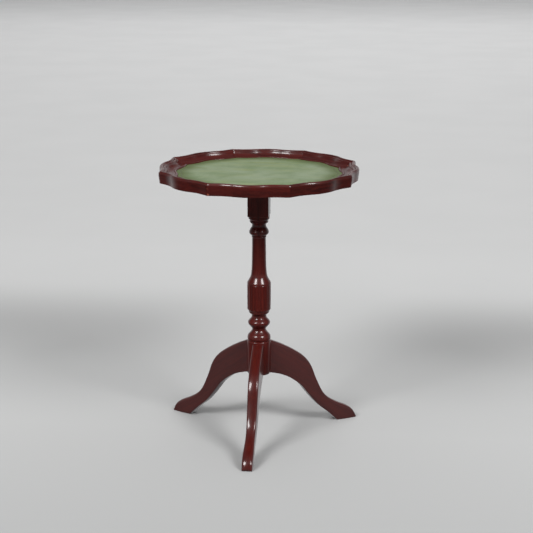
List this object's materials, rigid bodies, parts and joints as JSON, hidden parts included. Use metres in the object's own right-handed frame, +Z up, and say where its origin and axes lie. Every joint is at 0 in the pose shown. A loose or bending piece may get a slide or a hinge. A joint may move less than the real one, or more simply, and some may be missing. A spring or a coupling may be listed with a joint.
{
  "type": "tilt top table",
  "caption": "Small octagonal tilt-top tray table: green leather panel in a moulded mahogany rim, turned reeded column, tripod of S-curved legs, brass catch under the top.",
  "frame": {"origin": "on the floor under the middle of the column", "axes": "+Z up; +X to the right seen from the front; the front leg points along -Y, and the top tips forwards over it"},
  "size_m": [0.3558, 0.3771, 0.5],
  "materials": {
    "mahogany": "dark red-brown stain under glossy lacquer",
    "rim_mahogany": "dark red-brown stain under glossy lacquer, grain along each length",
    "board": "stained board, satin underneath",
    "green_leather": "mottled green hide, waxed, tooled line near the edge",
    "steel": "zinc plated, dulled",
    "brass": "cast and brushed, lightly tarnished"
  },
  "bodies": {
    "base": {"column": "mahogany", "hub_plate": "steel", "leg_front": "mahogany", "leg_left": "mahogany", "leg_right": "mahogany", "plate_screw_column": "steel", "plate_screw_front": "steel", "plate_screw_left": "steel", "plate_screw_right": "steel", "striker": "brass", "striker_screw_1": "brass", "striker_screw_2": "brass"},
    "top": {"bearer_left": "mahogany", "bearer_right": "mahogany", "bearer_screw_left_1": "steel", "bearer_screw_left_2": "steel", "bearer_screw_left_3": "steel", "bearer_screw_right_1": "steel", "bearer_screw_right_2": "steel", "bearer_screw_right_3": "steel", "catch_case": "brass", "catch_screw_1": "brass", "catch_screw_2": "brass", "catch_screw_3": "brass", "catch_screw_4": "brass", "catch_spring": "steel", "leather": "green_leather", "pivot_pin_left": "steel", "pivot_pin_right": "steel", "rim_1": "rim_mahogany", "rim_2": "rim_mahogany", "rim_3": "rim_mahogany", "rim_4": "rim_mahogany", "rim_5": "rim_mahogany", "rim_6": "rim_mahogany", "rim_7": "rim_mahogany", "rim_8": "rim_mahogany", "top_board": "board"},
    "catch": {"catch_bolt": "brass"}
  },
  "joints": [
    {"name": "top_tilt", "type": "hinge", "parent": "base", "child": "top", "pos_m": [0, -0.0067, 0.4662], "axis": [1, 0, 0], "range_deg": [0, 90]},
    {"name": "catch_slide", "type": "slide", "parent": "top", "child": "catch", "axis": [0, 1, 0], "range_m": [0, 0.0055], "stiffness_N_per_m": 300, "springref_m": -0.003, "deforming": ["catch_spring"]}
  ]
}
